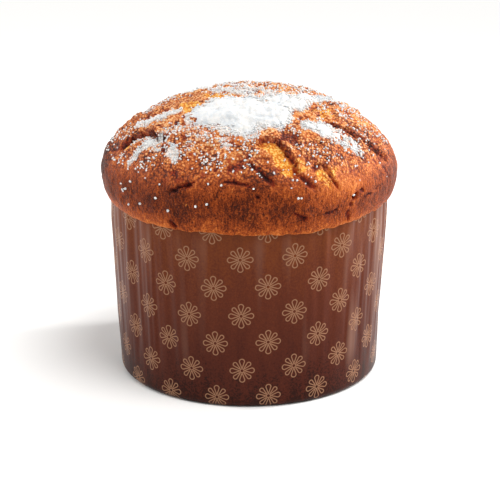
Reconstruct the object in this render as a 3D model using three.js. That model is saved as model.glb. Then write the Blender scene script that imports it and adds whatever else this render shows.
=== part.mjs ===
// A panettone in its paper baking mould: a tall sweet loaf whose domed top has risen over the rim
// of the mould and hangs a little down its outside, dusted with coarse sugar.
// Millimetres, +Z up. The origin is the middle of the mould's underside. The front is -Y.
import * as THREE from "three";

// The paper mould: one strip glued into a ring and folded in at the foot, and a disc on that fold.
const mouldHeight = 95;
const footRadius = 65;
const rimRadius = 68.3;
const paperThickness = 0.5;
const cornerRadius = 3;
const flangeWidth = 9;
const lapCentre = 93;
const lapWidth = 11;
const lapEdge = 0.6;
const lapRamp = 4;
const discRadius = 62.5;

// The loaf.
const crownHeight = 140.3;
const waistHeight = 101.7;
const waistRadius = 72.2;
const lipHeight = 88.2;
const lipThickness = 0.6;
const lipDroopFront = 4.6;
const lipWave = 0.45;
const domeRoundness = 0.91;
const domeSlope = 1.205;
const soleRadius = 2.6;

// Room between pieces that lie on each other.
const gap = 0.3;
const driftGap = 0.45;

// How finely the round shapes are faceted.
const turns = 60;
const domeSteps = 14;
const lipSteps = 6;
const cornerSteps = 4;
const driftTurns = 22;

// The sugar lies in drifts. Each has a middle in plan, two half lengths, the turn of the longer one
// from +X in degrees, a thickness, and the phase of its uneven outline.
const drifts = {
  sugar_crown: { middle: [2, -33], halves: [31, 18], turn: 8, thickness: 1.1, phase: 0.4 },
  sugar_right: { middle: [38.5, -43], halves: [13.5, 4.8], turn: 14, thickness: 0.9, phase: 2.1 },
  sugar_left: { middle: [-36, -50.5], halves: [9, 5], turn: -35, thickness: 0.9, phase: 1.2 },
  sugar_left_brow: { middle: [-43, -20], halves: [13, 7], turn: 0, thickness: 0.8, phase: 3.3 },
  sugar_back: { middle: [-7, 26], halves: [27, 14], turn: 15, thickness: 0.9, phase: 5.0 },
};

const crustColour = 0x9c4f26;
const paperColour = 0x6a3624;
const sugarColour = 0xf1efea;

const radians = THREE.MathUtils.degToRad;
const smooth = THREE.MathUtils.smoothstep;

// Outer radius of the paper wall at a height: it widens a little from foot to rim.
function wallRadius(z) {
  const share = (z - cornerRadius) / (mouldHeight - cornerRadius);
  return footRadius + (rimRadius - footRadius) * share;
}

// Points of an arc in the profile plane, angles in degrees from the outward direction.
function arc(centreR, centreZ, radius, from, to, steps) {
  const points = [];
  for (let i = 0; i <= steps; i++) {
    const a = radians(from + ((to - from) * i) / steps);
    points.push(new THREE.Vector2(centreR + radius * Math.cos(a), centreZ + radius * Math.sin(a)));
  }
  return points;
}

// Turns a profile about Z. A profile lists (radius, height) from the foot outwards and up.
function lathe(profile, segments) {
  return new THREE.LatheGeometry(profile, segments).rotateX(Math.PI / 2);
}

// Moves every vertex of a geometry by a function of its place.
function reshape(geometry, move) {
  const place = geometry.getAttribute("position");
  const point = new THREE.Vector3();
  for (let i = 0; i < place.count; i++) {
    point.fromBufferAttribute(place, i);
    move(point);
    place.setXYZ(i, point.x, point.y, point.z);
  }
  geometry.computeVertexNormals();
  return geometry;
}

// Azimuth of a point in degrees from +X, 0 to 360.
function azimuthOf(point) {
  return (THREE.MathUtils.radToDeg(Math.atan2(point.y, point.x)) + 360) % 360;
}

// The crust isn't a true turned shape: broad swells lift the top, more on its right shoulder.
function swell(point) {
  const weight = smooth(point.z, waistHeight, waistHeight + 16);
  const broad = 0.9 * Math.sin(point.x / 17 + 0.5) * Math.cos(point.y / 21 - 0.8);
  const narrow = 0.5 * Math.sin(point.x / 9.5 - point.y / 12 + 1.7);
  const away = new THREE.Vector3(point.x, point.y, point.z - waistHeight + 10).normalize();
  point.addScaledVector(away, weight * (broad + narrow));
}

// Height of the plain turned dome above a point in plan.
function domeHeight(x, y) {
  const cosine = Math.min(1, (Math.hypot(x, y) / waistRadius) ** (1 / domeRoundness));
  const sine = Math.sqrt(1 - cosine * cosine);
  return waistHeight + (crownHeight - waistHeight) * sine ** domeSlope;
}

function named(name, geometry, colour, roughness) {
  const material = new THREE.MeshStandardMaterial({ color: colour, roughness, metalness: 0 });
  const mesh = new THREE.Mesh(geometry, material);
  mesh.name = name;
  return mesh;
}

// The strip of the mould. Its two ends lap at the back, where the wall is two papers thick.
function mouldWall() {
  const cornerR = footRadius - cornerRadius;
  const inner = cornerRadius - paperThickness;
  const profile = [
    new THREE.Vector2(footRadius - cornerRadius - flangeWidth, 0),
    ...arc(cornerR, cornerRadius, cornerRadius, -90, 0, cornerSteps),
    new THREE.Vector2(wallRadius(mouldHeight / 2), mouldHeight / 2),
    new THREE.Vector2(rimRadius, mouldHeight),
    new THREE.Vector2(rimRadius - paperThickness, mouldHeight),
    new THREE.Vector2(wallRadius(mouldHeight / 2) - paperThickness, mouldHeight / 2),
    ...arc(cornerR, cornerRadius, inner, 0, -90, cornerSteps),
    new THREE.Vector2(footRadius - cornerRadius - flangeWidth, paperThickness),
    new THREE.Vector2(footRadius - cornerRadius - flangeWidth, 0),
  ];
  const facet = 360 / turns;
  const start = lapCentre - lapWidth / 2;
  const end = lapCentre + lapWidth / 2;
  return reshape(lathe(profile, turns), (point) => {
    const radius = Math.hypot(point.x, point.y);
    let azimuth = azimuthOf(point);
    // The facet before the lap is narrowed to its cut edge, and the one after it is its soft side.
    const edge = Math.round(start / facet) * facet;
    const side = Math.round(end / facet) * facet;
    const onLap = azimuth > edge - 0.5 * facet && azimuth < side + 0.5 * facet;
    if (Math.abs(azimuth - edge) < 0.5 * facet) azimuth = start;
    if (Math.abs(azimuth - edge + facet) < 0.5 * facet) azimuth = start - lapEdge;
    if (Math.abs(azimuth - side) < 0.5 * facet) azimuth = end;
    if (Math.abs(azimuth - side - facet) < 0.5 * facet) azimuth = end + lapRamp;
    const outside = radius > wallRadius(point.z) - 0.5 * paperThickness && point.z >= cornerRadius - 0.01;
    const out = radius + (onLap && outside ? paperThickness : 0);
    point.x = out * Math.cos(radians(azimuth));
    point.y = out * Math.sin(radians(azimuth));
  });
}

// The disc that closes the foot, lying on the fold.
function mouldBase() {
  const low = paperThickness + gap;
  const profile = [
    new THREE.Vector2(0, low),
    new THREE.Vector2(discRadius, low),
    new THREE.Vector2(discRadius, low + paperThickness),
    new THREE.Vector2(0, low + paperThickness),
  ];
  return lathe(profile, turns);
}

// The baked loaf, one solid: it fills the mould, a narrow groove under its overhang holds the rim,
// and the lip of the overhang lies against the outside of the paper.
function loaf() {
  const sole = 2 * (paperThickness + gap);
  const clear = paperThickness + gap;
  const side = wallRadius(sole + soleRadius) - clear;
  const groove = mouldHeight + gap;
  const tipRadius = wallRadius(lipHeight) + gap + lipThickness;
  const profile = [
    new THREE.Vector2(0, sole),
    ...arc(side - soleRadius, sole + soleRadius, soleRadius, -90, 0, cornerSteps),
    new THREE.Vector2(wallRadius(groove) - clear, groove),
    new THREE.Vector2(wallRadius(groove) + gap, groove),
    new THREE.Vector2(wallRadius(lipHeight + 1) + gap, lipHeight + 1),
  ];
  for (let i = 0; i < lipSteps; i++) {
    const a = radians((90 * i) / lipSteps);
    const r = tipRadius + (waistRadius - tipRadius) * Math.sin(a);
    profile.push(new THREE.Vector2(r, waistHeight - (waistHeight - lipHeight) * Math.cos(a)));
  }
  for (let i = 0; i < domeSteps; i++) {
    const a = radians((90 * i) / domeSteps);
    const z = waistHeight + (crownHeight - waistHeight) * Math.sin(a) ** domeSlope;
    profile.push(new THREE.Vector2(waistRadius * Math.cos(a) ** domeRoundness, z));
  }
  profile.push(new THREE.Vector2(0, crownHeight));
  const facet = 360 / turns;
  return reshape(lathe(profile, turns), (point) => {
    const radius = Math.hypot(point.x, point.y);
    const azimuth = azimuthOf(point);
    const onLip = radius > wallRadius(point.z) && point.z < groove + 0.01;
    // The lip steps out over the lap of the paper.
    const overLap = Math.abs(azimuth - lapCentre) < lapWidth / 2 + lapRamp + 1.5 * facet;
    if (onLip && overLap && radius < wallRadius(point.z) + gap + lipThickness + 0.2) {
      const share = (radius + paperThickness) / radius;
      point.x *= share;
      point.y *= share;
    }
    // It hangs lowest at the front, in a slow wave.
    if (onLip) {
      const low = 1 - smooth(point.z, lipHeight, mouldHeight - 1);
      const front = Math.max(0, -Math.sin(radians(azimuth))) ** 1.6;
      point.z -= low * (lipDroopFront * front + lipWave * Math.sin(radians(5 * azimuth + 40)));
    }
    swell(point);
  });
}

// One drift of sugar: a thin lens with an uneven outline, laid on the crust.
function sugarDrift({ middle, halves, turn, thickness, phase }) {
  const lens = [
    new THREE.Vector2(0, 0),
    new THREE.Vector2(0.35, 0),
    new THREE.Vector2(0.7, 0),
    new THREE.Vector2(1, 0),
    new THREE.Vector2(1, 0.4),
    new THREE.Vector2(0.8, 0.8),
    new THREE.Vector2(0.4, 0.97),
    new THREE.Vector2(0, 1),
  ];
  const cosTurn = Math.cos(radians(turn));
  const sinTurn = Math.sin(radians(turn));
  const step = 0.01;
  return reshape(lathe(lens, driftTurns), (point) => {
    const around = Math.atan2(point.y, point.x);
    const outline = 1 + 0.1 * Math.sin(3 * around + phase) + 0.07 * Math.sin(5 * around + 2 * phase);
    const along = point.x * outline * halves[0];
    const across = point.y * outline * halves[1];
    const lift = driftGap + thickness * point.z;
    const x = middle[0] + along * cosTurn - across * sinTurn;
    const y = middle[1] + along * sinTurn + across * cosTurn;
    const z = domeHeight(x, y);
    const away = new THREE.Vector3(
      (z - domeHeight(x + step, y)) / step,
      (z - domeHeight(x, y + step)) / step,
      1,
    ).normalize();
    point.set(x, y, z);
    swell(point);
    point.addScaledVector(away, lift);
  });
}

const panettone = new THREE.Group();
panettone.name = "panettone";
panettone.add(named("loaf", loaf(), crustColour, 0.7));
panettone.add(named("mould_wall", mouldWall(), paperColour, 0.55));
panettone.add(named("mould_base", mouldBase(), paperColour, 0.55));
for (const [name, drift] of Object.entries(drifts)) {
  panettone.add(named(name, sugarDrift(drift), sugarColour, 0.9));
}

export default panettone;
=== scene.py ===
import math
import bpy
import numpy as np
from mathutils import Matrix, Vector
from mathutils.bvhtree import BVHTree


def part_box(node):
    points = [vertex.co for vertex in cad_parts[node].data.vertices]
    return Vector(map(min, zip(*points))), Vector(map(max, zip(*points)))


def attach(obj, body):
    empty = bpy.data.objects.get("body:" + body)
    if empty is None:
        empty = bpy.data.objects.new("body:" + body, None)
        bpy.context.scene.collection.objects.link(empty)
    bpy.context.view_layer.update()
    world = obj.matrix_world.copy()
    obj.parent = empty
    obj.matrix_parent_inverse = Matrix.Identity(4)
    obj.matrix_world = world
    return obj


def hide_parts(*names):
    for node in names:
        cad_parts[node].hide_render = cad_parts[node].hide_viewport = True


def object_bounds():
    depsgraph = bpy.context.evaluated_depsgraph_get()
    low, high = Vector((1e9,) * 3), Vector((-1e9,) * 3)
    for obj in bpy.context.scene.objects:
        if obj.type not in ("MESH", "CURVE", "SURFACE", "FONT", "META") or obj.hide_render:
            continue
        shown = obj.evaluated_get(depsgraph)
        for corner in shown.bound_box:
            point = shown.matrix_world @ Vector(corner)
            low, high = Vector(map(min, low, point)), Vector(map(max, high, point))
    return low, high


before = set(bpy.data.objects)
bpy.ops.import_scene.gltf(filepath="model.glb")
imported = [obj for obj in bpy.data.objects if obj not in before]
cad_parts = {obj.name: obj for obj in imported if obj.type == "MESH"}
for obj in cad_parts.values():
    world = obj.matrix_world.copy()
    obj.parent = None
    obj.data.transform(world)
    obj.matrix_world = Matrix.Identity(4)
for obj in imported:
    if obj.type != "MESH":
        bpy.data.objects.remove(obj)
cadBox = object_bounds()
mm = 0.001

# A panettone in its printed paper mould. Lengths in the dictionaries are millimetres and angles
# degrees. A place on the crust is (azimuth, down): azimuth from the front, positive to the right,
# and the distance down from the crown along the crust.


def smooth(value, low, high):
    share = np.clip((value - low) / (high - low), 0, 1)
    return share * share * (3 - 2 * share)


def noise(points, size, seed):  # -1..1, one lump about every size mm
    cell = np.floor(points / size).astype(np.int64)
    share = points / size - cell
    share = share ** 3 * (share * (share * 6 - 15) + 10)
    total = np.zeros(len(points))
    for corner in range(8):
        step = np.array([corner & 1, corner >> 1 & 1, corner >> 2])
        at = cell + step
        key = at[:, 0] * 374761393 + at[:, 1] * 668265263 + at[:, 2] * 1440662683 + seed * 974711
        key = (key ^ (key >> 13)) * 1274126177
        key = ((key ^ (key >> 16)) & 0xFFFFFF) / 0x7FFFFF - 1.0
        total += key * np.prod(np.where(step, share, 1 - share), axis=1)
    return total


def layers(points, size, seed, count=3):  # noise with finer noise on it
    total = np.zeros(len(points))
    for i in range(count):
        total += noise(points, size * 0.5 ** i, seed + i) * 0.55 ** i
    return total


def getPoints(obj):  # vertex places in mm
    flat = np.empty(len(obj.data.vertices) * 3)
    obj.data.vertices.foreach_get("co", flat)
    return flat.reshape(-1, 3) / mm


def setPoints(obj, points):
    obj.data.vertices.foreach_set("co", (points * mm).reshape(-1))
    obj.data.update()


def setAttribute(obj, name, values):
    layer = obj.data.attributes.new(name, "FLOAT", "POINT")
    layer.data.foreach_set("value", values.astype(np.float32))


def newPiece(name):  # the object that an add operator has just made
    obj = bpy.context.active_object
    obj.name = name
    obj.data.name = name
    return obj


def applyAll(obj):
    bpy.ops.object.select_all(action="DESELECT")
    obj.select_set(True)
    bpy.context.view_layer.objects.active = obj
    bpy.ops.object.transform_apply(location=True, rotation=True, scale=True)


def editMode(obj):
    bpy.ops.object.select_all(action="DESELECT")
    obj.select_set(True)
    bpy.context.view_layer.objects.active = obj
    bpy.ops.object.mode_set(mode="EDIT")
    bpy.ops.mesh.select_mode(type="VERT")
    bpy.ops.mesh.select_all(action="SELECT")


def objectMode():
    bpy.ops.object.mode_set(mode="OBJECT")


def applyModifiers(obj):
    bpy.ops.object.select_all(action="DESELECT")
    obj.select_set(True)
    bpy.context.view_layer.objects.active = obj
    for modifier in list(obj.modifiers):
        bpy.ops.object.modifier_apply(modifier=modifier.name)


def smoothShade(obj):
    obj.data.polygons.foreach_set("use_smooth", [True] * len(obj.data.polygons))


loafLow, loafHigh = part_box("loaf")
wallLow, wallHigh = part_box("mould_wall")
baseLow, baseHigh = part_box("mould_base")

mould = {
    "height": wallHigh[2] / mm,
    "rimRadius": wallHigh[0] / mm,
    "footRadius": wallHigh[0] / mm - 3.3,
    "corner": 3.0,
    "flange": 9.0,
    "paper": 0.5,
    "lapCentre": 93.0,  # from +X, so at the back
    "lapWidth": 11.0,
    "columns": 720,
    "rows": 44,
    "fluteDepth": (0.2, 0.75),  # at the front and back, and at the sides
    "dentDepth": 0.25,
}
printed = {
    "flowerAt": (-3.3, 72.0),  # azimuth and height of one flower
    "rowTilt": 2.4,  # degrees that the rows climb to the right
    "rowCurve": 0.0003,  # per mm: the straight strip climbs away from the front on the sloping wall
    "columnLean": 0.7,  # and the columns lean
}
lapStart = mould["lapCentre"] - mould["lapWidth"] / 2
unrollRadius = (mould["footRadius"] + mould["rimRadius"]) / 2

loafShape = {
    "waistRadius": (loafHigh[0] - loafLow[0]) / 2 / mm,
    "waistHeight": 101.7,
    "crownHeight": loafHigh[2] / mm - 0.8,
    "roundness": 0.91,
    "slope": 1.205,
    "lipHeight": 88.2,
    "lipTip": 0.3,
    "lipTaper": 1.2,
    "lipDroop": 4.6,
    "lipWave": 0.45,
    "touch": 0.25,  # room to the paper
    "sole": baseHigh[2] / mm + 0.3,
    "soleRadius": 2.6,
}


def wallRadius(z):
    share = (z - mould["corner"]) / (mould["height"] - mould["corner"])
    return mould["footRadius"] + (mould["rimRadius"] - mould["footRadius"]) * share


def loafProfile():  # (radius, height) from the crown down the outside to the middle of the sole
    shape = loafShape
    rise = shape["crownHeight"] - shape["waistHeight"]
    a = np.radians(np.linspace(90, 0, 240))
    dome = np.stack([shape["waistRadius"] * np.abs(np.cos(a)) ** shape["roundness"],
                     shape["waistHeight"] + rise * np.sin(a) ** shape["slope"]], 1)
    dome[0, 0] = 0
    low = shape["lipHeight"]
    tip = wallRadius(low) + shape["touch"] + shape["lipTip"]
    a = np.radians(np.linspace(90, 0, 90))[1:]
    lip = np.stack([tip + (shape["waistRadius"] - tip) * np.sin(a) ** shape["lipTaper"],
                    shape["waistHeight"] - (shape["waistHeight"] - low) * np.cos(a)], 1)
    clear = mould["paper"] + 2.0  # hidden behind the fluted paper
    top = mould["height"] + 0.3
    side = wallRadius(shape["sole"] + shape["soleRadius"]) - clear
    rest = [(wallRadius(low + 0.7) + shape["touch"], low + 0.7),
            (wallRadius(top) + shape["touch"], top),
            (wallRadius(top) - clear, top),
            (side, shape["sole"] + shape["soleRadius"]),
            (side - 0.8, shape["sole"] + 0.7),
            (side - shape["soleRadius"], shape["sole"]),
            (0, shape["sole"])]
    return np.concatenate([dome, lip, np.array(rest)])


profile = loafProfile()
profileLength = np.concatenate([[0], np.cumsum(np.hypot(*np.diff(profile, axis=0).T))])
lipEnd = profileLength[328]  # the lowest point of the lip
waistDown = profileLength[239]


def onLoaf(azimuth, down):  # place and outward normal on the plain turned loaf, azimuth in radians
    r = np.interp(down, profileLength, profile[:, 0])
    z = np.interp(down, profileLength, profile[:, 1])
    ahead = np.minimum(down + 0.4, profileLength[-1])
    behind = np.maximum(down - 0.4, 0)
    dr = np.interp(ahead, profileLength, profile[:, 0]) - np.interp(behind, profileLength, profile[:, 0])
    dz = np.interp(ahead, profileLength, profile[:, 1]) - np.interp(behind, profileLength, profile[:, 1])
    size = np.hypot(dr, dz)
    ox, oy = np.sin(azimuth), -np.cos(azimuth)
    point = np.stack([r * ox, r * oy, z], -1)
    normal = np.stack([-dz / size * ox, -dz / size * oy, dr / size], -1)
    return point, normal


def swell(points):  # the CAD loaf's broad swells
    weight = smooth(points[:, 2], loafShape["waistHeight"], loafShape["waistHeight"] + 16)
    x, y = points[:, 0], points[:, 1]
    lift = 0.9 * np.sin(x / 17 + 0.5) * np.cos(y / 21 - 0.8) + 0.5 * np.sin(x / 9.5 - y / 12 + 1.7)
    away = points - np.array([0, 0, loafShape["waistHeight"] - 10])
    away /= np.linalg.norm(away, axis=1, keepdims=True)
    return away * (weight * lift)[:, None]


# A split opens where the dome tore as it rose. A split or a crack is an arc over the crust: it starts at
# (azimuth, down), heads so many degrees below level (0 is to the right, 90 down), and turns by "bend"
# over the share "bent" of its length in mm. A flap stands up on its left side and the torn crumb dips on
# its right side, "bare" by so much. Holes lie along it: (share of the length, radius, depth).
# Painted shade lies on the crumb side next to the flap and fades over "dark" mm.
splits = {
    "left": {"start": (-65, 75), "heading": -90, "bend": 95, "bent": 0.7, "length": 36,
             "flap": 1.8, "depth": 4.2, "reach": 6.0, "dark": 1.3, "bare": 0.85,
             "holes": [(0.08, 2.4, 3.2), (0.24, 2.0, 2.8)]},
    "centre": {"start": (2, 62), "heading": -45, "bend": 120, "bent": 0.55, "length": 32,
               "flap": 2.0, "depth": 1.7, "reach": 8.0, "dark": 0.6, "bare": 0.95, "holes": []},
    "right": {"start": (42, 50), "heading": 45, "bend": 10, "bent": 1.0, "length": 42,
              "flap": 1.6, "depth": 2.4, "reach": 2.8, "dark": 1.0, "bare": 0.3, "holes": []},
    "backLeft": {"start": (-112, 60), "heading": 205, "bend": -95, "bent": 1.0, "length": 54,
                 "flap": 1.2, "depth": 3.0, "reach": 6.5, "dark": 1.3, "bare": 0.8,
                 "holes": [(0.25, 1.2, 1.8)]},
    "backRight": {"start": (170, 45), "heading": 155, "bend": -50, "bent": 1.0, "length": 50,
                  "flap": 1.1, "depth": 2.8, "reach": 5.0, "dark": 1.1, "bare": 0.7,
                  "holes": [(0.4, 1.2, 1.8)]},
}


def crack(start, heading, bend, length, width, depth, holes=()):  # narrow and even on both sides
    return {"start": start, "heading": heading, "bend": bend, "bent": 1.0, "length": length,
            "width": width, "depth": depth, "holes": holes}


cracks = {
    "rightMid": crack((28, 73), 65, 0, 17, 1.1, 1.7),
    "rightHole": crack((44, 89), 150, -30, 8, 1.2, 1.6, [(0.6, 1.5, 2.2)]),
    "rightLow": crack((45, 94), -15, 0, 16, 0.7, 0.8),
    "lipRight": crack((40, 93), 100, -20, 9, 0.7, 1.0),
    "frontLeft": crack((-30, 89), -30, 0, 17, 1.2, 1.4),
    "front": crack((-10, 82), -15, 45, 16, 0.8, 1.1),
    "creaseCentre": crack((-2, 70), 45, 0, 20, 1.3, 1.5),
    "midCrease": crack((18, 78), 50, 0, 11, 1.0, 1.2),
    "lipLeft": crack((-30, 99), 45, 0, 4, 0.8, 1.2),
    "lipFront": crack((15, 95), 25, 0, 10, 0.7, 0.8),
    "lipFrontRight": crack((25, 98), -20, 35, 13, 0.7, 0.9),
    "shoulderRight": crack((60, 80), 55, 0, 10, 0.7, 0.9),
    "crownLeft": crack((-75, 30), 45, 0, 18, 1.2, 1.3),
    "sideRight": crack((88, 72), 50, 55, 27, 0.9, 1.2),
    "sideRightLow": crack((104, 93), -15, 30, 17, 0.8, 0.9),
    "backLow": crack((176, 86), 200, -70, 29, 0.9, 1.1),
    "backLip": crack((-168, 95), 30, 20, 12, 0.7, 0.9),
    "sideLeft": crack((-90, 78), 125, -50, 16, 0.9, 1.1),
}

# Small holes scattered over the crust.
pits = {"count": 26, "downs": (22, 98), "radii": (0.6, 1.2), "depths": (0.8, 1.5), "seed": 7}

# Torn crumb away from the splits: (azimuth, down, half width round, half length down, lean, how bare).
crumbPatches = [
    (-45, 40, 9, 5, 0, 0.75), (-35, 25, 9, 5, 0, 0.6), (30, 80, 6, 6, 20, 0.35), (50, 45, 8, 6, 0, 0.35),
    (20, 75, 4, 5, 0, 0.4), (110, 50, 9, 6, 30, 0.4), (-170, 30, 10, 7, 0, 0.4),
]

# Where the oven browned it, with painted light and shade mixed in, lighter where the light falls on the
# top and right and darker on the shaded skirt and left: (down, tone) round the whole loaf, then broad
# patches that add to it, (azimuth, down, spread round, spread down, tone).
browningAndShade = {
    "byDown": [(0, 0.80), (40, 0.80), (58, 0.74), (72, 0.62), (80, 0.47), (88, 0.31), (97, 0.22),
               (104, 0.26), (120, 0.4)],
    "patches": [(48, 60, 26, 16, -0.10), (40, 74, 14, 10, -0.06), (35, 84, 12, 8, 0.17),
                (-25, 92, 28, 14, -0.06), (-45, 72, 20, 8, -0.06), (-38, 42, 14, 12, 0.06),
                (18, 74, 8, 8, 0.10), (0, 68, 5, 5, -0.08), (4, 80, 6, 5, -0.14),
                (30, 80, 3, 5, -0.10), (-80, 80, 14, 12, -0.28), (74, 76, 12, 14, -0.12),
                (33, 88, 12, 7, 0.12), (-88, 46, 24, 16, -0.12), (-12, 78, 14, 6, 0.06),
                (12, 86, 10, 6, 0.05), (22, 99, 30, 6, -0.06), (150, 70, 40, 20, 0.06),
                (-150, 90, 40, 16, -0.04)],
    "edge": 0.36,  # the lip's lowest edge, shaded by the mould's rim in the oven, is paler
}

# Broad bulges and hollows of the rise: (azimuth, down, spread mm, lift).
bulges = [(-84, 48, 20, -2.8), (128, 32, 18, -1.6), (55, 14, 14, -0.6), (92, 90, 18, 0.5),
          (-60, 84, 14, 0.5), (30, 70, 12, 0.7), (14, 88, 12, 0.5), (-20, 72, 14, -0.4)]


def arcPoints(arc):  # an arc over the plain loaf as close points
    share = np.linspace(0, 1, 61)
    heading = np.radians(arc["heading"] + arc["bend"] * np.minimum(share / arc["bent"], 1))
    step = arc["length"] * np.diff(share, prepend=0)
    down = arc["start"][1] + np.cumsum(np.sin(heading) * step)
    radius = np.interp(down, profileLength, profile[:, 0])
    azimuth = math.radians(arc["start"][0]) + np.cumsum(np.cos(heading) * step / radius)
    return onLoaf(azimuth, down)[0]


def alongArc(points, normals, arc, reach):
    # signed distance to the right of the arc and the share of the way along it
    line = arcPoints(arc)
    near = np.where(np.min(np.linalg.norm(points[:, None] - line[None, ::6], axis=2), axis=1) < reach + 8)[0]
    p, n = points[near], normals[near]
    best = np.full(len(near), 1e9)
    side = np.zeros(len(near))
    share = np.zeros(len(near))
    for i in range(len(line) - 1):
        w = line[i + 1] - line[i]
        t = np.clip((p - line[i]) @ w / (w @ w), 0, 1)
        away = p - line[i] - t[:, None] * w
        distance = np.linalg.norm(away, axis=1)
        closer = distance < best
        best[closer] = distance[closer]
        side[closer] = np.sign(np.sum(np.cross(w, n) * away, axis=1))[closer]
        share[closer] = ((i + t) / (len(line) - 1))[closer]
    return near, best * np.where(side >= 0, 1, -1), share


def allHoles():  # (place, radius, depth) of the holes on the splits and cracks and of the scattered ones
    holes = []
    for arc in list(splits.values()) + list(cracks.values()):
        line = arcPoints(arc)
        for share, radius, depth in arc["holes"]:
            holes.append((line[round(share * (len(line) - 1))], radius, depth))
    rng = np.random.default_rng(pits["seed"])
    for _ in range(pits["count"]):
        azimuth = rng.uniform(-math.pi, math.pi)
        place = onLoaf(np.array([azimuth]), np.array([rng.uniform(*pits["downs"])]))[0][0]
        holes.append((place, rng.uniform(*pits["radii"]), rng.uniform(*pits["depths"])))
    return holes


def surfaceOffset(azimuth, down, centreAzimuth, centreDown):  # mm round and mm down from a place
    turn = (np.degrees(azimuth) - centreAzimuth + 180) % 360 - 180
    radius = np.interp(down, profileLength, profile[:, 0])
    return np.radians(turn) * radius, down - centreDown


def leathery(points, down):  # the skirt, and smooth places among the craggy ones on the dome
    places = 0.4 * smooth(noise(points, 9, 63) + 0.4 * noise(points, 4, 64), 0.05, 0.5)
    places *= smooth(down, 30, 60)
    return np.maximum(places, smooth(down, 69, 90))


def crustRelief(points, normals, down, azimuth):
    # how far each point of the plain loaf moves out, and what shows there
    count = len(points)
    lift = np.zeros(count)
    crumb = np.zeros(count)
    # painted shade: how dark the cracks, holes, bubbles, fold valleys and the crumb beside each tear are
    # drawn
    hollowShade = np.zeros(count)
    # the upper dome is craggy, the skirt leathery
    leather = leathery(points, down)
    craggy = 1 - leather
    skirt = smooth(down, 74, 92) * (1 - smooth(down, lipEnd + 1, lipEnd + 4))
    shown = 1 - smooth(down, lipEnd - 7, lipEnd)
    for az, at, spread, height in bulges:
        across, along = surfaceOffset(azimuth, down, az, at)
        lift += height * np.exp(-(across ** 2 + along ** 2) / spread ** 2)
    # raggedness of every tear
    ragged = points + 0.8 * np.stack([noise(points, 4.0, s) for s in (31, 32, 33)], 1)
    ragged += 0.5 * np.stack([noise(points, 1.7, s) for s in (34, 35, 36)], 1)
    lift += 0.45 * noise(points, 15, 3) * shown
    lift += 0.5 * noise(ragged, 6.5, 5) * (0.3 + 0.7 * craggy) * shown
    # folds of stretched skin: sharp valleys between round backs
    folds = np.abs(noise(ragged, 5.2, 7)) ** 0.7
    lift += 1.5 * (folds - 0.42) * craggy * shown
    pebbles = layers(ragged, 2.7, 11, 3)
    raised = pebbles * (0.3 + 0.7 * craggy)
    lift += 0.42 * raised * shown
    # painted shade in the fold valleys
    valley = smooth(0.24 - folds, 0, 0.2) * craggy
    hollowShade = np.maximum(hollowShade, 0.75 * valley * smooth(noise(points, 9, 8), -0.2, 0.3))
    # the skirt's skin is drawn into fine creases that run down it
    drawn = np.stack([points[:, 0], points[:, 1], points[:, 2] * 0.35], 1)
    lift += 0.17 * layers(drawn, 2.2, 21, 3) * skirt * shown
    for split in splits.values():
        near, u, share = alongArc(ragged, normals, split, split["reach"])
        ends = smooth(share, 0.0, 0.14) * (1 - smooth(share, 0.86, 1.0))
        reach = split["reach"]
        flap = split["flap"] * np.exp(np.minimum(u, 0) / 3.0) * smooth(-u, -0.35, 0.2)
        bowl = split["depth"] * smooth(u, -0.3, 0.5) * (1 - smooth(u, 0.9, reach)) * np.exp(-u / reach * 0.6)
        lift[near] += (flap - bowl) * ends
        # painted shade on the crumb side of the tear, under the flap
        dark = np.exp(-np.maximum(u - 0.3, 0) / split["dark"]) * smooth(u, -0.6, 0.1) * ends
        hollowShade[near] = np.maximum(hollowShade[near], dark)
        frayed = u + 1.2 * noise(points[near], 3.5, 44)
        torn = smooth(u, 0.3, 1.4) * (1 - smooth(frayed, 0.55 * reach, 1.15 * reach))
        crumb[near] = np.maximum(crumb[near], split["bare"] * torn * ends)
    for line in cracks.values():
        near, u, share = alongArc(ragged, normals, line, 4)
        ends = smooth(share, 0.0, 0.2) * (1 - smooth(share, 0.8, 1.0))
        width = line["width"] * (0.7 + 0.5 * noise(points[near], 3.0, 41))
        gap = np.exp(-(u / width) ** 2) * ends
        rim = np.exp(-((np.abs(u) - 2.0 * width) / width) ** 2) * ends
        lift[near] += line["depth"] * (0.3 * rim - gap)
        # painted shade down the crack
        hollowShade[near] = np.maximum(hollowShade[near], 0.95 * gap)
    for centre, radius, depth in allHoles():
        distance = np.linalg.norm(ragged - centre, axis=1)
        hole = np.exp(-(distance / radius) ** 4)
        lift -= depth * hole
        # painted shade in the hole
        hollowShade = np.maximum(hollowShade, hole)
    for az, at, wide, tall, lean, bare in crumbPatches:
        across, along = surfaceOffset(azimuth, down, az, at)
        a = math.radians(lean)
        turned = across * math.cos(a) + along * math.sin(a)
        along = along * math.cos(a) - across * math.sin(a)
        patch = 1 - np.hypot(turned / wide, along / tall)
        patch = patch + 0.35 * noise(points, 3.5, 44) + 0.3 * noise(points, 1.5, 45)
        crumb = np.maximum(crumb, bare * smooth(patch, 0.0, 0.45))
    # small burst bubbles all over, closer together on the dome
    bubble = noise(points, 2.9, 51)
    burst = smooth(-bubble, 0.5, 0.7) * shown * (0.25 + 0.75 * craggy)
    lift -= 0.55 * burst
    # painted shade in the bubbles
    hollowShade = np.maximum(hollowShade, 0.6 * burst)
    return lift, crumb, hollowShade, raised


def moundRow(node, start, end, count, halves, height):
    # soft mounds in a row over a CAD drift; start and end are shares of its half sizes from its middle
    low, high = (np.array(corner)[:2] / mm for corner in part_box(node))
    first = (low + high) / 2 + (high - low) / 2 * start
    last = (low + high) / 2 + (high - low) / 2 * end
    turn = math.degrees(math.atan2(last[1] - first[1], last[0] - first[0]))
    row = []
    for share in np.linspace(0, 1, count):
        size = 1 - 0.4 * abs(2 * share - 0.9)
        x, y = first + (last - first) * share
        row.append((x, y, halves[0] * size, halves[1] * size, turn, height * size))
    return row


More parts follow.
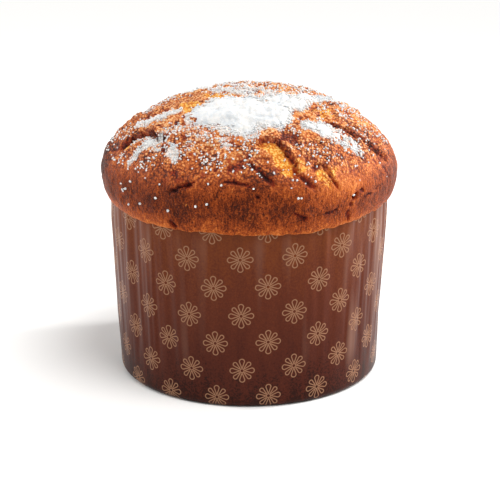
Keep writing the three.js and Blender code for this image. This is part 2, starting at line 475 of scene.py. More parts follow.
# Each drift is a few overlapping soft mounds: (x, y, half length, half width, turn, height).
drifts = {
    "sugar_crown": [(-4, -37, 21, 12.5, 0, 1.3), (9, -38, 10.5, 12, 0, 1.2), (-19, -38, 9, 8, 20, 0.9),
                    (14, -24, 8, 5, 20, 0.8), (20, -27, 8, 6, 40, 0.9), (26, -17, 8, 4, 40, 0.7),
                    (35, -9, 6, 3, 45, 0.6), (-3, -50, 9, 3.4, 0, 0.7)],
    "sugar_right": moundRow("sugar_right", (-0.8, 0.1), (0.55, 0.35), 4, (6.0, 4.2), 0.95),
    "sugar_left": (moundRow("sugar_left", (-1.6, 1.2), (-0.5, 1.1), 3, (3.8, 2.0), 0.8)
                   + moundRow("sugar_left", (0.3, -0.3), (0.5, -0.7), 2, (2.8, 2.0), 0.8)),
    "sugar_left_brow": moundRow("sugar_left_brow", (-0.6, 0.0), (0.7, -1.3), 4, (3.8, 3.3), 0.5),
    "sugar_back": [(-16, 22, 12, 6, 10, 0.8), (3, 29, 10, 6, 20, 0.8), (-28, 16, 5, 3.5, 30, 0.6)],
}

# Where loose grains lie: (azimuth, down, half width in degrees, half length down, grains per mm2).
sprinkles = [
    (-68, 54, 16, 6, 0.8), (-54, 48, 16, 5, 0.5), (-46, 67, 16, 6, 0.8), (-28, 60, 18, 8, 0.5),
    (-22, 70, 18, 6, 0.35), (-5, 61, 12, 6, 0.8), (1, 68, 6, 6, 0.4), (33, 54, 16, 5, 0.6),
    (45, 66, 24, 12, 0.22), (68, 44, 18, 12, 0.5), (75, 62, 16, 14, 0.2), (-76, 68, 14, 10, 0.35),
    (-50, 75, 26, 7, 0.22), (0, 74, 34, 8, 0.10), (0, 8, 180, 16, 0.9),
    (165, 22, 105, 26, 0.5), (175, 50, 50, 16, 0.35), (-125, 48, 34, 16, 0.4), (120, 52, 34, 14, 0.25),
    (0, 84, 90, 9, 0.010), (180, 78, 110, 16, 0.02),
]

# Single grains that rolled low on the skirt.
strayGrains = {"count": 17, "azimuths": (-60, 45), "downs": (76, 98), "seed": 3}
strayDraw = np.random.default_rng(strayGrains["seed"])
strays = list(zip(strayDraw.uniform(*strayGrains["azimuths"], strayGrains["count"]),
                  strayDraw.uniform(*strayGrains["downs"], strayGrains["count"])))


def moundField(x, y, mounds):  # above 0 inside the mounds, falling steadily outside
    field = np.full(len(x), -9.0)
    for mx, my, long, wide, turn, tall in mounds:
        a = math.radians(turn)
        along = ((x - mx) * math.cos(a) + (y - my) * math.sin(a)) / long
        across = (-(x - mx) * math.sin(a) + (y - my) * math.cos(a)) / wide
        field = np.maximum(field, (1 - np.hypot(along, across)) * min(long, wide))
    return field


def sugarDensity(azimuth, down, points):  # grains per mm2 of crust
    density = np.zeros(len(points))
    for az, at, wide, tall, most in sprinkles:
        turn = (np.degrees(azimuth) - az + 180) % 360 - 180
        off = np.hypot(turn / wide, (down - at) / tall)
        density = np.maximum(density, most * smooth(1.25 - off, 0, 0.75))
    density *= 0.3 + 1.1 * smooth(noise(points, 5.5, 86) + 0.5 * noise(points, 2.4, 87), -0.35, 0.5)
    for mounds in drifts.values():
        field = moundField(points[:, 0], points[:, 1], mounds)
        density = np.maximum(density, 1.3 * smooth(field + 1.2 * noise(points, 3.0, 88), -2.6, 0.3))
        density *= 1 - smooth(field, 0.6, 2.2)  # the heaps need no loose grains on them
    return density * (1 - smooth(down, 86, 94))


def driftHeight(x, y, mounds):
    flat = np.stack([x, y, np.zeros(len(x))], 1)
    field = moundField(x, y, mounds)
    field += 1.3 * noise(flat, 5.0, 81) + 0.9 * noise(flat, 2.1, 82) + 0.8 * noise(flat, 1.0, 83) - 0.3
    most = max(mound[5] for mound in mounds)
    return np.where(field > 0, most * smooth(field, -0.6, 4.5), field)


def makeLoaf():
    # a cube cut fine and blown to a ball, then drawn onto the turned shape: no pinched crown
    bpy.ops.object.select_all(action="DESELECT")
    bpy.ops.mesh.primitive_cube_add(size=2)
    loaf = newPiece("loafCrust")
    editMode(loaf)
    bpy.ops.mesh.subdivide(number_cuts=127)
    objectMode()
    ball = np.tan(getPoints(loaf) * mm * math.pi / 4)
    ball /= np.linalg.norm(ball, axis=1, keepdims=True)
    polar = np.degrees(np.arccos(np.clip(ball[:, 2], -1, 1)))
    azimuth = np.arctan2(ball[:, 0], -ball[:, 1])
    # share the ball's rows out: most of them go to the dome and the lip
    rows = [0, 98, 133, 135, 143, 145, 157, 161, 180]
    down = np.interp(polar, rows, profileLength[[0, 239, 328, 329, 330, 331, 332, 334, 335]])
    points, normals = onLoaf(azimuth, down)
    lift, crumb, hollowShade, raised = crustRelief(points, normals, down, azimuth)
    # the lip hangs lowest at the front, in a slow wave, and steps over the lap of the paper
    droop = loafShape["lipDroop"] * np.maximum(0, np.cos(azimuth)) ** 1.6
    droop += loafShape["lipWave"] * np.sin(5 * (azimuth - math.pi / 2) + math.radians(40))
    droop += 0.5 * noise(points, 5.5, 95) + 0.4 * noise(points, 2.4, 96)
    onLip = (down > waistDown) & (down < profileLength[330] + 0.1)
    low = 1 - smooth(points[:, 2], loafShape["lipHeight"], mould["height"] - 1)
    moved = points + swell(points) + normals * lift[:, None]
    moved[:, 2] -= np.where(onLip, low * droop, 0)
    turn = np.degrees(azimuth) - 90
    off = np.abs((turn - mould["lapCentre"] + 180) % 360 - 180)
    step = 1 - smooth(off, mould["lapWidth"] / 2 + 1, mould["lapWidth"] / 2 + 7)
    inner = smooth(down, lipEnd - 2.5, lipEnd) * (1 - smooth(down, profileLength[330], profileLength[331]))
    out = np.stack([np.sin(azimuth), -np.cos(azimuth), np.zeros(len(azimuth))], 1)
    moved += out * (mould["paper"] * step * inner)[:, None]
    # never through the paper
    radius = np.hypot(moved[:, 0], moved[:, 1])
    outside = (down > waistDown) & (down < profileLength[330] + 0.05)
    least = wallRadius(moved[:, 2]) + loafShape["touch"] + mould["paper"] * step
    short = np.where(outside, np.maximum(0, least - radius), 0)
    moved += out * short[:, None]
    setPoints(loaf, moved)
    tone = np.interp(down, *np.array(browningAndShade["byDown"]).T)
    for az, at, wide, tall, change in browningAndShade["patches"]:
        turn = (np.degrees(azimuth) - az + 180) % 360 - 180
        tone += change * np.exp(-(turn / wide) ** 2 - ((down - at) / tall) ** 2)
    tone += 0.09 * noise(points, 19, 61) + 0.08 * noise(points, 8, 62)
    tone += browningAndShade["edge"] * np.exp(-np.maximum(0, lipEnd - down) / 4.0) * smooth(down, 88, 97)
    setAttribute(loaf, "tone", np.clip(tone, 0, 1))
    setAttribute(loaf, "crumb", crumb)
    # the painted shade of the hollows, for the crust's colour
    setAttribute(loaf, "hollowShade", hollowShade)
    setAttribute(loaf, "raised", raised)
    setAttribute(loaf, "skirt", leathery(points, down))
    setAttribute(loaf, "dust", sugarDensity(azimuth, down, points) * (1 - smooth(hollowShade, 0.1, 0.5)))
    editMode(loaf)
    bpy.ops.mesh.normals_make_consistent(inside=False)
    objectMode()
    smoothShade(loaf)
    return loaf


def mouldProfile():  # outside of the paper, from the inner edge of the fold round to the rim
    corner = mould["corner"]
    centre = mould["footRadius"] - corner
    points = [(centre - mould["flange"], 0.0), (centre - mould["flange"] / 2, 0.0)]
    for i in range(7):
        a = math.radians(-90 + 15 * i)
        points.append((centre + corner * math.cos(a), corner + corner * math.sin(a)))
    rows = mould["rows"]
    for i in range(1, rows + 1):
        z = corner + (mould["height"] - corner) * i / rows
        points.append((wallRadius(z), z))
    return points


def makeMouldWall():
    outline = mouldProfile()
    bpy.ops.object.select_all(action="DESELECT")
    bpy.ops.mesh.primitive_circle_add(vertices=mould["columns"], radius=outline[0][0] * mm)
    wall = newPiece("mouldStrip")
    editMode(wall)
    for (r0, z0), (r1, z1) in zip(outline, outline[1:]):
        bpy.ops.mesh.extrude_region_move(TRANSFORM_OT_translate={"value": (0, 0, (z1 - z0) * mm)})
        bpy.ops.transform.resize(value=(r1 / r0, r1 / r0, 1), center_override=(0, 0, z1 * mm))
    bpy.ops.mesh.select_all(action="SELECT")
    bpy.ops.mesh.normals_make_consistent(inside=False)
    objectMode()
    outsideCount = len(wall.data.vertices)
    # the strip's thickness, inwards
    mesh = wall.data
    centre = mesh.polygons[len(mesh.polygons) // 2]
    if centre.normal.dot(centre.center) < 0:
        editMode(wall)
        bpy.ops.mesh.flip_normals()
        objectMode()
    solid = wall.modifiers.new("paper", "SOLIDIFY")
    solid.thickness = mould["paper"] * mm
    solid.offset = -1
    solid.use_even_offset = True
    applyModifiers(wall)
    points = getPoints(wall)
    azimuth = np.arctan2(points[:, 1], points[:, 0])
    z = points[:, 2]
    # soft flutes that the baking drew into the paper, fading towards its folded foot
    onWall = smooth(z, 4, 30)
    circle = np.stack([np.cos(azimuth) * 66, np.sin(azimuth) * 66, z * 0.05], 1)
    flute = 0.9 * noise(circle, 9.0, 71) + 0.7 * noise(circle, 4.4, 72) + 0.4 * noise(circle, 2.4, 75)
    flute = np.where(flute > 0, flute * (1 - 0.7 * smooth(z, 76, 88)), 1.4 * flute)
    depth = np.interp(np.abs(np.cos(azimuth)), [0.35, 0.75], mould["fluteDepth"])
    depth += 0.22 * smooth(z, 55, 90)  # drawn in most under the lip
    # the flutes' rise, which also places the painted highlight on their backs
    setAttribute(wall, "ridge", onWall * depth * flute)
    dents = noise(np.stack([points[:, 0], points[:, 1], z * 0.5], 1), 17, 74)
    lift = onWall * (depth * flute + mould["dentDepth"] * dents)
    # the lap: the outer end of the strip lies on the inner end with a cut edge on its left
    turn = np.degrees(azimuth) % 360
    onLap = smooth(turn, lapStart - 0.35, lapStart + 0.15)
    onLap *= 1 - smooth(turn, lapStart + mould["lapWidth"], lapStart + mould["lapWidth"] + 4)
    outer = np.arange(len(points)) < outsideCount
    lift += np.where(outer & (z > 0.5), mould["paper"] * onLap, 0)
    points[:, 0] += np.cos(azimuth) * lift
    points[:, 1] += np.sin(azimuth) * lift
    setPoints(wall, points)
    # the print runs round from the lap's edge, in mm
    unrolled = np.mod(azimuth - math.radians(lapStart), 2 * math.pi) * unrollRadius
    whole = 2 * math.pi * unrollRadius
    loops = np.empty(len(wall.data.loops), dtype=np.int64)
    wall.data.loops.foreach_get("vertex_index", loops)
    u = unrolled[loops]
    v = z[loops]
    corners = u.reshape(-1, 4)
    wraps = (corners.max(axis=1) - corners.min(axis=1)) > whole / 2
    corners[wraps] = np.where(corners[wraps] < whole / 2, corners[wraps] + whole, corners[wraps])
    # the sheet was printed slightly askew
    u = corners.reshape(-1) - math.radians(printed["flowerAt"][0] + 270 - lapStart) * unrollRadius
    v = v - printed["flowerAt"][1]
    across = u + v * math.tan(math.radians(printed["columnLean"]))
    up = v - u * math.tan(math.radians(printed["rowTilt"])) - u ** 2 * printed["rowCurve"]
    layer = wall.data.uv_layers.new(name="printMap")
    layer.data.foreach_set("uv", np.stack([across, up], 1).reshape(-1) * mm)
    smoothShade(wall)
    return wall


def castDown(tree, x, y):  # height of the crust under each place, in mm
    height = np.zeros(len(x))
    for i in range(len(x)):
        hit = tree.ray_cast(Vector((x[i] * mm, y[i] * mm, 0.2)), Vector((0, 0, -1)))[0]
        height[i] = hit.z / mm if hit else 100
    return height


def makeDrift(name, node, mounds, tree):
    spread = np.array(mounds)
    reach = np.maximum(spread[:, 2], spread[:, 3]) * 1.25
    lowX, highX = (spread[:, 0] - reach).min(), (spread[:, 0] + reach).max()
    lowY, highY = (spread[:, 1] - reach).min(), (spread[:, 1] + reach).max()
    pitch = 0.4
    bpy.ops.object.select_all(action="DESELECT")
    bpy.ops.mesh.primitive_grid_add(
        x_subdivisions=int((highX - lowX) / pitch), y_subdivisions=int((highY - lowY) / pitch), size=1,
        location=((lowX + highX) / 2 * mm, (lowY + highY) / 2 * mm, 0))
    drift = newPiece(name)
    drift.scale = ((highX - lowX) * mm, (highY - lowY) * mm, 1)
    applyAll(drift)
    points = getPoints(drift)
    outside = driftHeight(points[:, 0], points[:, 1], mounds) < 0.02
    bare = np.empty(len(drift.data.loops), dtype=np.int64)
    drift.data.loops.foreach_get("vertex_index", bare)
    bare = outside[bare.reshape(-1, 4)].any(axis=1)
    editMode(drift)
    bpy.ops.mesh.select_mode(type="FACE")
    bpy.ops.mesh.select_all(action="DESELECT")
    objectMode()
    drift.data.polygons.foreach_set("select", bare)
    bpy.ops.object.mode_set(mode="EDIT")
    bpy.ops.mesh.delete(type="FACE")
    bpy.ops.mesh.select_all(action="SELECT")
    bpy.ops.mesh.extrude_region_move(TRANSFORM_OT_translate={"value": (0, 0, -mm)})
    objectMode()
    # laid on the crust, its underside just under it
    points = getPoints(drift)
    under = points[:, 2] < -0.5
    crust = castDown(tree, points[:, 0], points[:, 1])
    tall = driftHeight(points[:, 0], points[:, 1], mounds)
    flat = points * np.array([1, 1, 0])
    grain = 0.08 * noise(flat, 1.5, 91) + 0.09 * noise(flat, 0.85, 92) + 0.16 * noise(flat, 4.0, 93)
    top = np.maximum(tall, 0.05) + grain * smooth(tall, 0.0, 0.5) + 0.05
    points[:, 2] = np.where(under, crust - 0.6, crust + top)
    setPoints(drift, points)
    editMode(drift)
    bpy.ops.mesh.normals_make_consistent(inside=False)
    objectMode()
    smoothShade(drift)
    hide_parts(node)
    return drift


grainSize = {"smallest": 0.6, "biggest": 1.15}


def crystalShape():  # one clump of coarse sugar crystals
    bpy.ops.object.select_all(action="DESELECT")
    bpy.ops.mesh.primitive_ico_sphere_add(subdivisions=1, radius=0.5)
    crystal = newPiece("crystal")
    editMode(crystal)
    bpy.ops.mesh.select_all(action="DESELECT")
    objectMode()
    for vertex in crystal.data.vertices:
        vertex.select = vertex.co.z > 0.4 or vertex.co.x > 0.42
    bpy.ops.object.mode_set(mode="EDIT")
    bpy.ops.transform.resize(value=(0.8, 1.1, 0.75), center_override=(0, 0, 0))
    objectMode()
    points = getPoints(crystal) * mm
    faces = np.array([list(polygon.vertices) for polygon in crystal.data.polygons])
    bpy.data.objects.remove(crystal)
    return points, faces


def makeGrains(name, trees, shape, seed, azimuths, tries):
    rng = np.random.default_rng(seed)
    lowDown, highDown = 0.0, 100.0
    azimuth = np.radians(rng.uniform(azimuths[0], azimuths[1], tries))
    down = rng.uniform(lowDown, highDown, tries)
    place, outward = onLoaf(azimuth, down)
    # a try stands for this many mm2 of crust
    turn = math.radians(azimuths[1] - azimuths[0])
    share = turn * np.hypot(place[:, 0], place[:, 1]) * (highDown - lowDown) / tries
    kept = rng.uniform(0, 1, tries) < sugarDensity(azimuth, down, place) * share
    single = [(az, at) for az, at in strays if azimuths[0] <= az < azimuths[1]]
    size = rng.uniform(grainSize["smallest"], grainSize["biggest"], tries)
    place, outward, size = place[kept], outward[kept], size[kept]
    if single:
        around, below = np.array(single).T
        more, moreOut = onLoaf(np.radians(around), below)
        place, outward = np.concatenate([place, more]), np.concatenate([outward, moreOut])
        size = np.concatenate([size, np.full(len(single), grainSize["biggest"] * 1.1)])
    shapePoints, shapeFaces = shape
    points, faces = [], []
    for i in range(len(place)):
        start = Vector((place[i] + outward[i] * 12) * mm)
        hits = [tree.ray_cast(start, Vector(-outward[i])) for tree in trees]
        hits = [hit for hit in hits if hit[0] is not None]
        if not hits:
            continue
        hit, normal = min(hits, key=lambda found: found[3])[:2]
        spin = np.linalg.qr(rng.normal(size=(3, 3)))[0]
        stretch = size[i] * rng.uniform(0.75, 1.25, 3)
        centre = np.array(hit) / mm + np.array(normal) * size[i] * 0.3
        faces.append(shapeFaces + len(points) * len(shapePoints))
        points.append((shapePoints * stretch) @ spin + centre)
    mesh = bpy.data.meshes.new(name)
    mesh.from_pydata((np.concatenate(points) * mm).tolist(), [], np.concatenate(faces).tolist())
    grains = bpy.data.objects.new(name, mesh)
    bpy.context.collection.objects.link(grains)
    editMode(grains)
    bpy.ops.mesh.normals_make_consistent(inside=False)
    objectMode()
    print(name, len(points), "grains")
    return grains


def colour(text, alpha=1.0):  # "#rrggbb" in sRGB to linear
    parts = [int(text[i:i + 2], 16) / 255 for i in (1, 3, 5)]
    return tuple(c / 12.92 if c <= 0.04045 else ((c + 0.055) / 1.055) ** 2.4 for c in parts) + (alpha,)


def addNode(tree, kind, inputs={}, **settings):
    node = tree.nodes.new("ShaderNode" + kind)
    for name, value in settings.items():
        setattr(node, name, value)
    for socket, value in inputs.items():
        if isinstance(value, bpy.types.NodeSocket):
            tree.links.new(value, node.inputs[socket])
        else:
            node.inputs[socket].default_value = value
    return node


def fillRamp(node, stops):  # {place: colour}
    elements = node.color_ramp.elements
    for i, (at, shade) in enumerate(stops.items()):
        element = elements[i] if i < 2 else elements.new(at)
        element.position = at
        element.color = colour(shade)


def newMaterial(name):
    material = bpy.data.materials.new(name)
    material.use_nodes = True
    tree = material.node_tree
    tree.nodes.clear()
    shader = addNode(tree, "BsdfPrincipled")
    addNode(tree, "OutputMaterial", {"Surface": shader.outputs["BSDF"]})
    return material, tree, shader


def perMm(size):  # noise scale for one lump about every size mm
    return 1.0 / (size * mm)


def lumps(tree, place, size, detail, roughness):  # noise with a lump about every size mm
    return addNode(tree, "TexNoise", {"Vector": place, "Scale": perMm(size), "Detail": detail,
                                      "Roughness": roughness}).outputs["Fac"]


def maths(tree, operation, inputs, **settings):
    return addNode(tree, "Math", inputs, operation=operation, **settings).outputs[0]


def mapped(tree, inputs, **settings):
    return addNode(tree, "MapRange", inputs, **settings).outputs["Result"]


# Bread crust: sweet egg dough browned in the oven. Dark and leathery on the skirt, golden and
# grainy on the dome, yellow crumb where it tore, and sugar dust caught in its grain. Painted shade
# darkens its cracks, holes and fold valleys.
crustLook = {
    "tones": {0.0: "#260b03", 1.0: "#f7c592", 0.2: "#5c2107", 0.4: "#9c4416", 0.6: "#cb6c2d",
              0.8: "#e59550"},
    "crumb": {0.28: "#cc6a15", 0.66: "#ffd077", 0.45: "#f39f30"},
    "creviceShade": {0.05: "#ffffff", 1.0: "#431b0b", 0.4: "#c07f58"},  # painted shade, multiplied into the hollows
    "dust": "#f3e6dd",
    "beadMm": 1.15,
    "blotchMm": 5.0,
    "poreMm": 0.6,
    "streakMm": 1.0,
    "roughness": (0.42, 0.62),
    "specular": (0.38, 0.12),  # glinting grain on the dome, dull on the skirt
    "ior": 1.45,
}


def crustMaterial():
    look = crustLook
    material, tree, shader = newMaterial("bakedBreadCrust")
    place = addNode(tree, "TexCoord").outputs["Object"]
    known = {name: addNode(tree, "Attribute", attribute_name=name).outputs["Fac"]
             for name in ("tone", "crumb", "hollowShade", "raised", "skirt", "dust")}
    blotch = lumps(tree, place, look["blotchMm"], 4.0, 0.6)
    pore = lumps(tree, place, look["poreMm"], 2.0, 0.6)
    bead = addNode(tree, "TexVoronoi", {"Vector": place, "Scale": perMm(look["beadMm"]), "Randomness": 1.0,
                                        "Smoothness": 0.4}, feature="SMOOTH_F1").outputs["Distance"]
    beadTop = mapped(tree, {"Value": bead, "From Min": 0.75, "From Max": 0.12})
    longPlace = addNode(tree, "Mapping", {"Vector": place, "Scale": (1, 1, 0.35)}).outputs["Vector"]
    streak = lumps(tree, longPlace, look["streakMm"], 3.0, 0.65)
    # beads on the dome give way to drawn streaks on the skirt
    grain = addNode(tree, "Mix", {0: known["skirt"], 2: beadTop, 3: streak}, data_type="FLOAT").outputs[0]
    swing = mapped(tree, {"Value": known["skirt"], "To Min": 0.85, "To Max": 0.72})
    calm = mapped(tree, {"Value": known["skirt"], "To Min": 0.85, "To Max": 0.25})
    tone = known["tone"]
    for source, middle, weight in [(blotch, 0.5, calm), (grain, 0.5, swing), (pore, 0.5, 0.7),
                                   (known["raised"], 0.0, 0.14)]:
        centred = maths(tree, "SUBTRACT", {0: source, 1: middle})
        tone = maths(tree, "MULTIPLY_ADD", {0: centred, 1: weight, 2: tone})
    crustTone = addNode(tree, "ValToRGB", {"Fac": tone})
    fillRamp(crustTone, look["tones"])
    # crumb in the tears, its edge broken by the grain
    edge = maths(tree, "MULTIPLY_ADD", {0: blotch, 1: 0.9, 2: known["crumb"]})
    edge = maths(tree, "MULTIPLY_ADD", {0: pore, 1: 0.5, 2: edge})
    torn = mapped(tree, {"Value": edge, "From Min": 0.85, "From Max": 1.15}, interpolation_type="SMOOTHSTEP")
    sponge = maths(tree, "ADD", {0: beadTop, 1: pore})
    sponge = maths(tree, "MULTIPLY", {0: sponge, 1: 0.5})
    crumbTone = addNode(tree, "ValToRGB", {"Fac": sponge})
    fillRamp(crumbTone, look["crumb"])
    shade = addNode(tree, "Mix", {0: torn, 6: crustTone.outputs["Color"], 7: crumbTone.outputs["Color"]},
                    data_type="RGBA").outputs[2]
    # fine sugar dust between the grains
    caught = maths(tree, "MULTIPLY_ADD", {0: known["dust"], 1: 0.42, 2: -0.16})
    caught = maths(tree, "ADD", {0: pore, 1: caught})
    dusted = mapped(tree, {"Value": caught, "From Min": 0.56, "From Max": 0.74, "To Max": 0.85},
                    interpolation_type="SMOOTHSTEP")
    dusted = maths(tree, "MULTIPLY", {0: dusted, 1: known["dust"]}, use_clamp=True)
    shade = addNode(tree, "Mix", {0: dusted, 6: shade, 7: colour(look["dust"])}, data_type="RGBA").outputs[2]
    # painted shade: dark red brown multiplied into cracks, holes, fold valleys and beside the tears
    creviceShade = addNode(tree, "ValToRGB", {"Fac": known["hollowShade"]})
    fillRamp(creviceShade, look["creviceShade"])
    shade = addNode(tree, "Mix", {0: 1.0, 6: shade, 7: creviceShade.outputs["Color"]}, data_type="RGBA",
                    blend_type="MULTIPLY").outputs[2]
    tree.links.new(shade, shader.inputs["Base Color"])
    rough = addNode(tree, "MapRange", {"Value": pore, "From Min": 0.3, "From Max": 0.7,
                                       "To Min": look["roughness"][0], "To Max": look["roughness"][1]})
    tree.links.new(rough.outputs["Result"], shader.inputs["Roughness"])
    gloss = mapped(tree, {"Value": known["skirt"], "To Min": look["specular"][0],
                          "To Max": look["specular"][1]})
    tree.links.new(gloss, shader.inputs["Specular IOR Level"])
    shader.inputs["IOR"].default_value = look["ior"]
    coarse = addNode(tree, "Bump", {"Height": grain, "Distance": 0.8 * mm,
                                    "Strength": 0.8}).outputs["Normal"]
    fine = addNode(tree, "Bump", {"Height": pore, "Distance": 0.5 * mm, "Strength": 0.8,
                                  "Normal": coarse}).outputs["Normal"]
    tree.links.new(fine, shader.inputs["Normal"])
    return material


# Coarse sugar, pressed on before baking and dusted after: white, matte, glinting a little.
sugarLook = {"white": "#e5e3e0", "shade": "#cfd3d6", "grainMm": 0.7, "driftMm": 4.5, "glowMm": 0.8,
             "roughness": 0.6, "specular": 0.3}


def sugarMaterial():
    look = sugarLook
    material, tree, shader = newMaterial("coarseSugar")
    place = addNode(tree, "TexCoord").outputs["Object"]
    grain = lumps(tree, place, look["grainMm"], 3.0, 0.6)
    packed = lumps(tree, place, look["driftMm"], 2.0, 0.5)
    mixed = addNode(tree, "Mix", {0: 0.55, 2: grain, 3: packed}, data_type="FLOAT").outputs[0]
    shade = addNode(tree, "ValToRGB", {"Fac": mixed})
    fillRamp(shade, {0.38: look["shade"], 0.56: look["white"]})
    tree.links.new(shade.outputs["Color"], shader.inputs["Base Color"])
    shader.inputs["Roughness"].default_value = look["roughness"]
    shader.inputs["Specular IOR Level"].default_value = look["specular"]
    shader.inputs["Subsurface Weight"].default_value = 0.5  # light passes through the crystals
    shader.inputs["Subsurface Radius"].default_value = (1.0, 0.9, 0.8)
    shader.inputs["Subsurface Scale"].default_value = look["glowMm"] * mm
    bump = addNode(tree, "Bump", {"Height": grain, "Distance": 0.25 * mm, "Strength": 0.6}).outputs["Normal"]
    tree.links.new(bump, shader.inputs["Normal"])
    return material


# Greaseproof baking paper, printed red brown with a lattice of outline flowers in tan: satin.
paperLook = {
    "ground": {0.0: "#2a0d05", 1.0: "#713717", 0.15: "#461a0d", 0.6: "#5a2714"},  # from its foot to its rim, darker to the foot partly as painted shade
    "line": "#9a7054",
    # painted highlight on the backs of the flutes
    "ridgeHighlight": "#967262",
    "ridgeHighlightShare": 0.45,
    "lineFade": 0.9,
    "columnMm": 24.6,
    "rowMm": 26.7,
    "petalMm": (1.75, 4.5),
    "petalRootMm": 0.26,
    "petalTipMm": (0.92, 1.2),
    "eyeMm": 0.95,
    "lineMm": 0.42,
    "fibreMm": 0.9,
    "roughness": (0.30, 0.42),
    "specular": 0.10,
    "ior": 1.5,
}


def flower(tree, vector):  # distance in mm to the nearest line of one flower, from its middle
    look = paperLook
    split = addNode(tree, "SeparateXYZ", {"Vector": vector})
    ring = addNode(tree, "VectorMath", {0: vector}, operation="LENGTH").outputs["Value"]
    angle = maths(tree, "ARCTAN2", {0: split.outputs["Y"], 1: split.outputs["X"]})
    eighth = math.pi / 8
    folded = maths(tree, "WRAP", {0: angle, 1: eighth, 2: -eighth})
    cosine = maths(tree, "COSINE", {0: folded})
    sine = maths(tree, "SINE", {0: folded})
    along = maths(tree, "MULTIPLY", {0: ring, 1: cosine})
    across = maths(tree, "MULTIPLY", {0: ring, 1: sine})
    # every second petal is fuller
    fourth = maths(tree, "MULTIPLY", {0: angle, 1: 4.0})
    full = maths(tree, "COSINE", {0: fourth})
    tip = addNode(tree, "MapRange", {"Value": full, "From Min": -0.3, "From Max": 0.3,
                                     "To Min": look["petalTipMm"][0], "To Max": look["petalTipMm"][1]})
    held = addNode(tree, "Clamp", {"Value": along, "Min": look["petalMm"][0], "Max": look["petalMm"][1]})
    width = mapped(tree, {"Value": held.outputs["Result"], "From Min": look["petalMm"][0],
                          "From Max": look["petalMm"][1], "To Min": look["petalRootMm"],
                          "To Max": tip.outputs["Result"]})
    past = maths(tree, "SUBTRACT", {0: along, 1: held.outputs["Result"]})
    pair = addNode(tree, "CombineXYZ", {"X": past, "Y": across}).outputs["Vector"]
    reach = addNode(tree, "VectorMath", {0: pair}, operation="LENGTH").outputs["Value"]
    rim = maths(tree, "SUBTRACT", {0: reach, 1: width})
    petal = maths(tree, "ABSOLUTE", {0: rim})
    eye = maths(tree, "SUBTRACT", {0: ring, 1: look["eyeMm"]})
    eye = maths(tree, "ABSOLUTE", {0: eye})
    return maths(tree, "MINIMUM", {0: petal, 1: eye})


def paperMaterial():
    look = paperLook
    material, tree, shader = newMaterial("printedBakingPaper")
    place = addNode(tree, "TexCoord").outputs["Object"]
    uv = addNode(tree, "UVMap", uv_map="printMap").outputs["UV"]
    printMm = addNode(tree, "VectorMath", {0: uv, "Scale": 1 / mm}, operation="SCALE").outputs[0]
    cell = (look["columnMm"], look["rowMm"], 1.0)
    distances = []
    for offset in (0.0, 0.5):
        moved = addNode(tree, "VectorMath", {0: printMm, 1: (cell[0] * offset, cell[1] * offset, 0)},
                        operation="ADD").outputs[0]
        local = addNode(tree, "VectorMath", {0: moved, 1: (cell[0] / 2, cell[1] / 2, 1.0),
                                             2: (-cell[0] / 2, -cell[1] / 2, -1.0)},
                        operation="WRAP").outputs[0]
        flat = addNode(tree, "VectorMath", {0: local, 1: (1, 1, 0)}, operation="MULTIPLY").outputs[0]
        distances.append(flower(tree, flat))
    nearest = maths(tree, "MINIMUM", {0: distances[0], 1: distances[1]})
    half = look["lineMm"] / 2
    line = mapped(tree, {"Value": nearest, "From Min": half - 0.1, "From Max": half + 0.15,
                         "To Min": look["lineFade"], "To Max": 0.0}, interpolation_type="SMOOTHSTEP")
    fibre = lumps(tree, place, look["fibreMm"], 3.0, 0.6)
    longPlace = addNode(tree, "Mapping", {"Vector": place, "Scale": (1, 1, 0.15)}).outputs["Vector"]
    soaked = lumps(tree, longPlace, 6.0, 3.0, 0.55)
    # darker towards its foot and warmer and clearer towards its rim: partly butter soaked in under
    # the loaf's lip, partly painted shade
    height = addNode(tree, "SeparateXYZ", {"Vector": place}).outputs["Z"]
    climb = mapped(tree, {"Value": height, "From Min": 0.0, "From Max": wallHigh[2]})
    for source, weight in [(soaked, 0.55), (fibre, 0.8)]:
        centred = maths(tree, "SUBTRACT", {0: source, 1: 0.5})
        climb = maths(tree, "MULTIPLY_ADD", {0: centred, 1: weight, 2: climb})
    ground = addNode(tree, "ValToRGB", {"Fac": climb})
    fillRamp(ground, look["ground"])
    # painted highlight: the backs of the flutes are drawn pale greyish pink, as if lit, most at the sides
    ridge = addNode(tree, "Attribute", attribute_name="ridge").outputs["Fac"]
    ridgeHighlight = mapped(tree, {"Value": ridge, "From Min": 0.1, "From Max": 0.6,
                           "To Max": look["ridgeHighlightShare"]})
    shade = addNode(tree, "Mix", {0: ridgeHighlight, 6: ground.outputs["Color"], 7: colour(look["ridgeHighlight"])},
                    data_type="RGBA").outputs[2]
    shade = addNode(tree, "Mix", {0: line, 6: shade, 7: colour(look["line"])}, data_type="RGBA").outputs[2]
    tree.links.new(shade, shader.inputs["Base Color"])
    rough = addNode(tree, "MapRange", {"Value": fibre, "From Min": 0.3, "From Max": 0.7,
                                       "To Min": look["roughness"][0], "To Max": look["roughness"][1]})
    tree.links.new(rough.outputs["Result"], shader.inputs["Roughness"])
    shader.inputs["Specular IOR Level"].default_value = look["specular"]
    shader.inputs["IOR"].default_value = look["ior"]
    bump = addNode(tree, "Bump", {"Height": fibre, "Distance": 0.08 * mm, "Strength": 0.6}).outputs["Normal"]
    tree.links.new(bump, shader.inputs["Normal"])
    return material


print("loaf")
loaf = makeLoaf()
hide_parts("loaf")

print("paper mould")
wall = makeMouldWall()
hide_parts("mould_wall")

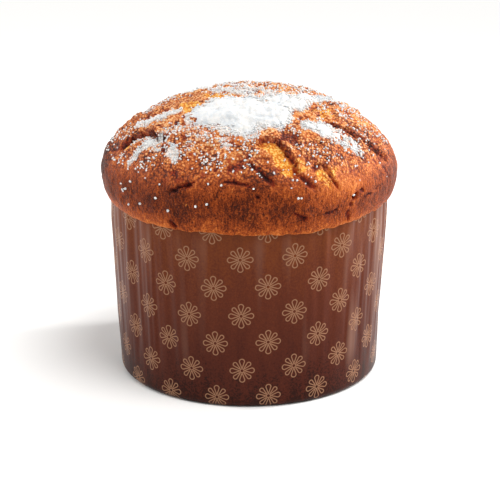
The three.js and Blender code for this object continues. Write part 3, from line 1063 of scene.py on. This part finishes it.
print("sugar")
looking = bpy.context.evaluated_depsgraph_get()
crustTree = BVHTree.FromObject(loaf, looking)
driftNames = {"sugar_crown": "sugarHeap", "sugar_right": "sugarStreak", "sugar_left": "sugarClumps",
              "sugar_left_brow": "sugarBrow", "sugar_back": "sugarBack"}
driftPieces = [makeDrift(driftNames[node], node, mounds, crustTree) for node, mounds in drifts.items()]
looking = bpy.context.evaluated_depsgraph_get()
sugarTrees = [crustTree] + [BVHTree.FromObject(drift, looking) for drift in driftPieces]
crystal = crystalShape()
grainPieces = [makeGrains("grainsFront", sugarTrees, crystal, 11, (-90, 90), 30000),
               makeGrains("grainsBack", sugarTrees, crystal, 12, (90, 270), 30000)]

print("materials")
crust = crustMaterial()
sugar = sugarMaterial()
paper = paperMaterial()
finishes = [(loaf, crust, "crust"), (wall, paper, "mould_paper")]
finishes += [(piece, sugar, "sugar") for piece in driftPieces + grainPieces]
for piece, material, slot in finishes:
    piece.data.materials.clear()
    piece.data.materials.append(material)
    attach(piece, "root")
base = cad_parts["mould_base"]
base.data.materials.clear()
base.data.materials.append(paper)

print("stage")
stage = {
    "floor": "#f4f3f1",
    "floorSize": 12.0,
    "world": 0.45,
    "cameraDistance": 603,
    "cameraPitch": 16.13,
    "lens": 86.5,
    "aimHeight": 57.3,
    "aimRight": 0.5,
    "overhead": {"towards": (0.42, -0.32, 1.0), "power": 2.35, "softness": 36},
    "strips": {  # place, size and power
        "stripRight": [(0.95, 0.25, 0.40), (0.14, 0.8), 10.0],
        "stripLeft": [(-0.95, 0.15, 0.50), (0.14, 0.6), 5.0],
    },
}
bpy.ops.object.select_all(action="DESELECT")
bpy.ops.mesh.primitive_plane_add(size=stage["floorSize"], location=(0, 0, cadBox[0][2]))
floor = newPiece("floor")
floorMaterial, floorTree, floorShader = newMaterial("studioFloor")
floorShader.inputs["Base Color"].default_value = colour(stage["floor"])
floorShader.inputs["Roughness"].default_value = 0.9
floorShader.inputs["Specular IOR Level"].default_value = 0.1
floor.data.materials.append(floorMaterial)

pitch = math.radians(stage["cameraPitch"])
aim = Vector((stage["aimRight"], 0, stage["aimHeight"])) * mm
away = Vector((0, -math.cos(pitch), math.sin(pitch))) * stage["cameraDistance"] * mm
bpy.ops.object.camera_add(location=aim + away, rotation=(math.pi / 2 - pitch, 0, 0))
camera = bpy.context.active_object
camera.data.lens = stage["lens"]
camera.data.sensor_width = 36
camera.data.clip_start = 0.01
bpy.context.scene.camera = camera

overhead = stage["overhead"]
bpy.ops.object.light_add(type="SUN", location=(0, 0, 1))
sun = bpy.context.active_object
sun.name = "overhead"
sun.data.energy = overhead["power"]
sun.data.angle = math.radians(overhead["softness"])
sun.rotation_euler = Vector(overhead["towards"]).to_track_quat("Z", "Y").to_euler()
for name, (place, size, power) in stage["strips"].items():
    bpy.ops.object.light_add(type="AREA", location=place)
    light = bpy.context.active_object
    light.name = name
    light.data.shape = "RECTANGLE"
    light.data.size, light.data.size_y = size
    light.data.energy = power
    light.rotation_euler = (Vector((0, 0, 0.07)) - Vector(place)).to_track_quat("-Z", "Y").to_euler()

world = bpy.data.worlds.new("studio")
bpy.context.scene.world = world
world.use_nodes = True
world.node_tree.nodes["Background"].inputs["Color"].default_value = (1, 1, 1, 1)
world.node_tree.nodes["Background"].inputs["Strength"].default_value = stage["world"]
bpy.context.scene.view_settings.view_transform = "Standard"
bpy.context.scene.view_settings.look = "None"

print("finished")
